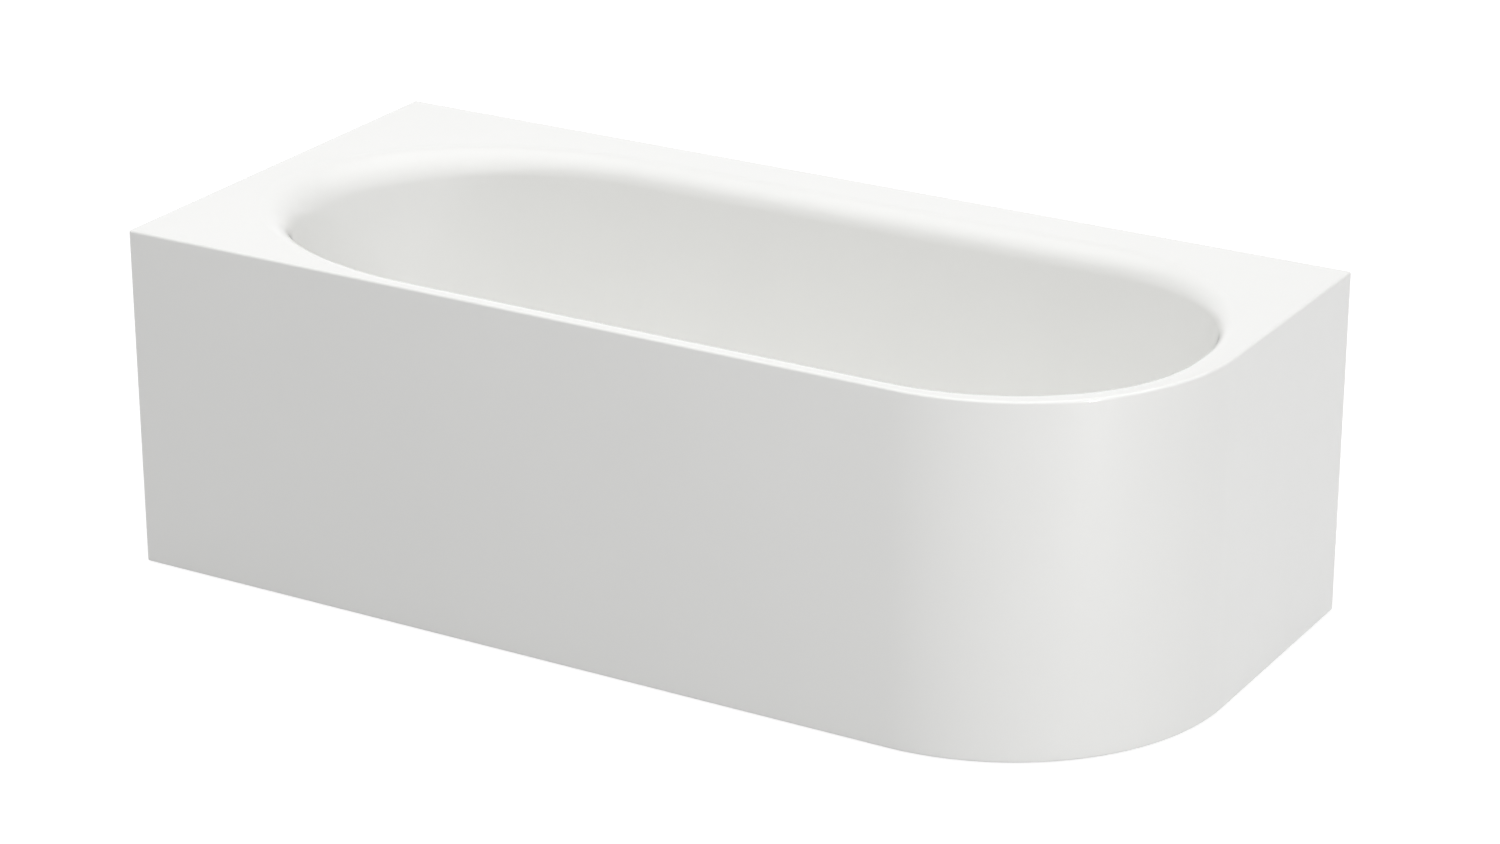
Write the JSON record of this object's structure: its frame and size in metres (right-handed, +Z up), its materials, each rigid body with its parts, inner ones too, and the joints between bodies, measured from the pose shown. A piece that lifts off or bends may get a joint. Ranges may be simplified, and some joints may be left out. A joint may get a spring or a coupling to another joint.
{
  "type": "panelled bathtub",
  "caption": "White enamelled bath for a corner, with an oval bowl, a wide deck at the walls and a panel round one rounded free corner.",
  "frame": {"origin": "on the floor under the middle of the bath's outer box", "axes": "+X along the length towards the foot end with the rounded corner, +Y towards the back wall, +Z up"},
  "size_m": [1.75, 0.8, 0.573],
  "materials": {
    "enamel": "glossy white enamel on steel",
    "zinc_steel": "zinc-plated, satin",
    "chrome": "polished",
    "white_plastic": "satin",
    "dark_plastic": "matte",
    "rubber": "matte",
    "deadening_mat": "matte bitumen sheet"
  },
  "bodies": {
    "base": {"apron_panel": "enamel", "apron_top_rail": "zinc_steel", "back_mat": "deadening_mat", "bath_shell": "enamel", "body_seal": "rubber", "earth_lug": "zinc_steel", "earth_screw": "zinc_steel", "end_stay": "zinc_steel", "flange_seal": "rubber", "floor_mat": "deadening_mat", "foot_rail": "zinc_steel", "foot_rail_pad": "rubber", "front_mat": "deadening_mat", "head_rail": "zinc_steel", "head_rail_pad": "rubber", "outlet_nut": "white_plastic", "overflow_body": "white_plastic", "overflow_flange": "chrome", "overflow_pipe": "white_plastic", "overflow_seal": "rubber", "panel_tie_foot": "zinc_steel", "panel_tie_head": "zinc_steel", "pipe_nut_lower": "white_plastic", "pipe_nut_upper": "white_plastic", "rail_nuts": "zinc_steel", "rim_bracket_1": "zinc_steel", "rim_bracket_2": "zinc_steel", "rim_bracket_3": "zinc_steel", "rim_bracket_4": "zinc_steel", "tie_bolts": "zinc_steel", "trap_body": "white_plastic", "trap_nut": "white_plastic", "trap_seal": "rubber", "waste_body": "white_plastic", "waste_flange": "chrome"},
    "plug": {"waste_plug": "chrome", "plug_seal": "rubber"},
    "knob": {"overflow_knob": "chrome"},
    "elbow": {"outlet_elbow": "white_plastic"},
    "foot_1": {"foot_1_spindle": "zinc_steel", "foot_1_pad": "dark_plastic", "foot_1_sole": "rubber"},
    "foot_2": {"foot_2_spindle": "zinc_steel", "foot_2_pad": "dark_plastic", "foot_2_sole": "rubber"},
    "foot_3": {"foot_3_spindle": "zinc_steel", "foot_3_pad": "dark_plastic", "foot_3_sole": "rubber"},
    "foot_4": {"foot_4_spindle": "zinc_steel", "foot_4_pad": "dark_plastic", "foot_4_sole": "rubber"}
  },
  "joints": [
    {"name": "knob_turn", "type": "hinge", "parent": "base", "child": "knob", "pos_m": [0.79981, -0.039, 0.478], "axis": [-0.9703, 0, 0.2419], "range_deg": [0, 90]},
    {"name": "plug_lift", "type": "slide", "parent": "base", "child": "plug", "axis": [0, 0, 1], "range_m": [0, 0.012]},
    {"name": "outlet_swivel", "type": "hinge", "parent": "base", "child": "elbow", "pos_m": [0.54, 0.053, 0.061], "axis": [0, 1, 0], "range_deg": [-40, 40]},
    {"name": "foot_1_adjust", "type": "slide", "parent": "base", "child": "foot_1", "axis": [0, 0, 1], "range_m": [-0.018, 0.01]},
    {"name": "foot_2_adjust", "type": "slide", "parent": "base", "child": "foot_2", "axis": [0, 0, 1], "range_m": [-0.018, 0.01]},
    {"name": "foot_3_adjust", "type": "slide", "parent": "base", "child": "foot_3", "axis": [0, 0, 1], "range_m": [-0.018, 0.01]},
    {"name": "foot_4_adjust", "type": "slide", "parent": "base", "child": "foot_4", "axis": [0, 0, 1], "range_m": [-0.018, 0.01]}
  ],
  "couplings": [
    {"joint": "plug_lift", "follows": "knob_turn", "m_per_rad": 0.0076394}
  ]
}
